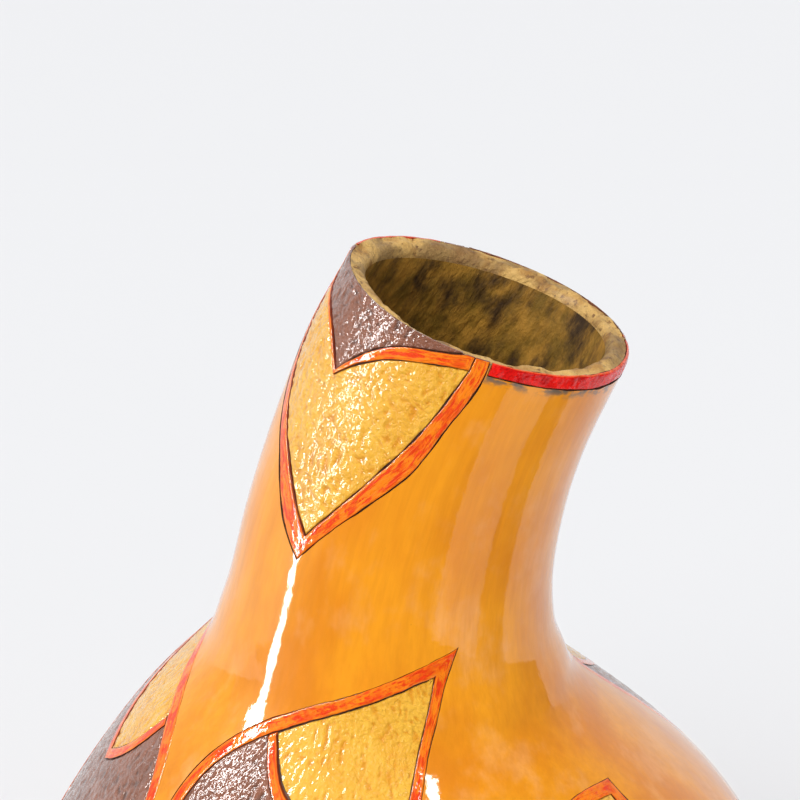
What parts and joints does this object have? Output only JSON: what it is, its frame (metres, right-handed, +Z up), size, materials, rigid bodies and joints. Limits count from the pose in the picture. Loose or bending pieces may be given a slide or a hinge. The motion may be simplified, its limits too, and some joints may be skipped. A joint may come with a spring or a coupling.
{
  "type": "carved gourd vase",
  "caption": "Round-bellied gourd vase with a leaning open neck, carved and stained pendant, tulip and leaf motifs, standing on a flat foot.",
  "frame": {"origin": "centre of the flat foot, on the surface that the vase stands on", "axes": "+Z up, +X the side the neck leans to, -Y the side that faces the viewer"},
  "size_m": [0.23, 0.23, 0.311],
  "materials": {
    "rind": "honey-amber lacquered dried gourd rind, raw and matt at the sawn rim and inside",
    "red_stain": "streaky orange-red stain under glossy lacquer, edged with burnt lines",
    "gold_field": "yellow-gold tooled and wrinkled relief under glossy lacquer",
    "brown_field": "dark brown stippled relief with coppery glints under glossy lacquer"
  },
  "bodies": {
    "root": {"gourd_shell": "rind", "pendant_a_outer_band": "red_stain", "pendant_a_gold_field": "gold_field", "pendant_a_inner_band": "red_stain", "pendant_a_brown_field": "brown_field", "rim_band_a": "red_stain", "tulip_a_right_outline_band": "red_stain", "tulip_a_right_divider_band": "red_stain", "tulip_a_right_gold_field": "gold_field", "tulip_a_right_brown_field": "brown_field", "tulip_a_left_outline_band": "red_stain", "tulip_a_left_divider_band": "red_stain", "tulip_a_left_gold_field": "gold_field", "tulip_a_left_brown_field": "brown_field", "leaf_a_outline_band": "red_stain", "leaf_a_gold_field": "gold_field", "pendant_b_outer_band": "red_stain", "pendant_b_gold_field": "gold_field", "pendant_b_inner_band": "red_stain", "pendant_b_brown_field": "brown_field", "rim_band_b": "red_stain", "tulip_b_right_outline_band": "red_stain", "tulip_b_right_divider_band": "red_stain", "tulip_b_right_gold_field": "gold_field", "tulip_b_right_brown_field": "brown_field", "tulip_b_left_outline_band": "red_stain", "tulip_b_left_divider_band": "red_stain", "tulip_b_left_gold_field": "gold_field", "tulip_b_left_brown_field": "brown_field", "leaf_b_outline_band": "red_stain", "leaf_b_gold_field": "gold_field"}
  },
  "joints": []
}
